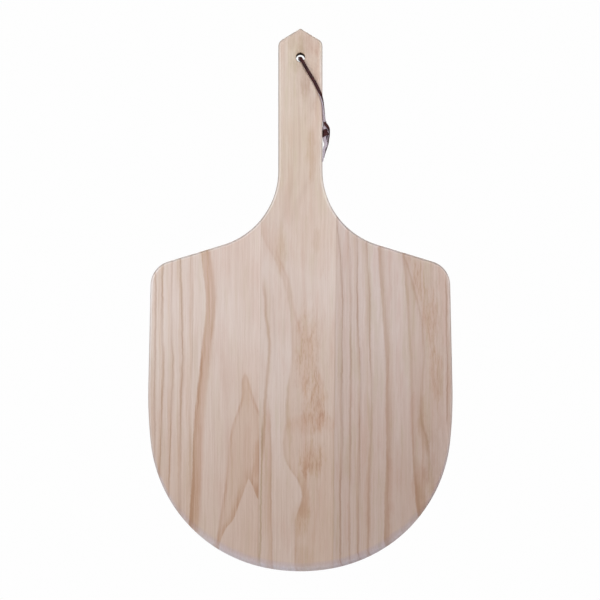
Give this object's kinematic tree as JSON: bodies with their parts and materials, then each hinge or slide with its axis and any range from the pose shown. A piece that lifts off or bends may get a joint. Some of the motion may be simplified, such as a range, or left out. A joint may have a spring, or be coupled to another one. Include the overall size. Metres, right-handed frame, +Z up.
{
  "type": "pizza peel",
  "caption": "Short wooden pizza peel made of edge-glued boards, with a shouldered arched blade, a softly bevelled front edge and a knotted leather lace through the handle.",
  "frame": {"origin": "centre of the lace hole at the end of the handle, halfway through the wood's thickness", "axes": "+Z up along the handle towards its pointed end, with the peel hanging; +X to the right seen from the front; the bevelled front face looks along -Y and the flat back along +Y"},
  "size_m": [0.3052, 0.0192, 0.5442],
  "materials": {
    "side_board_wood": "smooth sanded softwood, unfinished",
    "centre_board_wood": "smooth sanded softwood, unfinished",
    "wood_glue": "cured wood glue, sanded flush",
    "lace_leather": "dark reddish-brown waxed leather"
  },
  "bodies": {
    "peel": {"left_board": "side_board_wood", "centre_board": "centre_board_wood", "right_board": "side_board_wood", "left_glue_line": "wood_glue", "right_glue_line": "wood_glue"},
    "hanging_loop": {"lace_front_strand": "lace_leather", "lace_back_strand": "lace_leather", "lace_knot": "lace_leather", "lace_front_tail": "lace_leather", "lace_back_tail": "lace_leather"}
  },
  "joints": [
    {"name": "loop_swing", "type": "hinge", "parent": "peel", "child": "hanging_loop", "pos_m": [0, 0, 0], "axis": [0, -1, 0], "range_deg": [0, 300]}
  ]
}
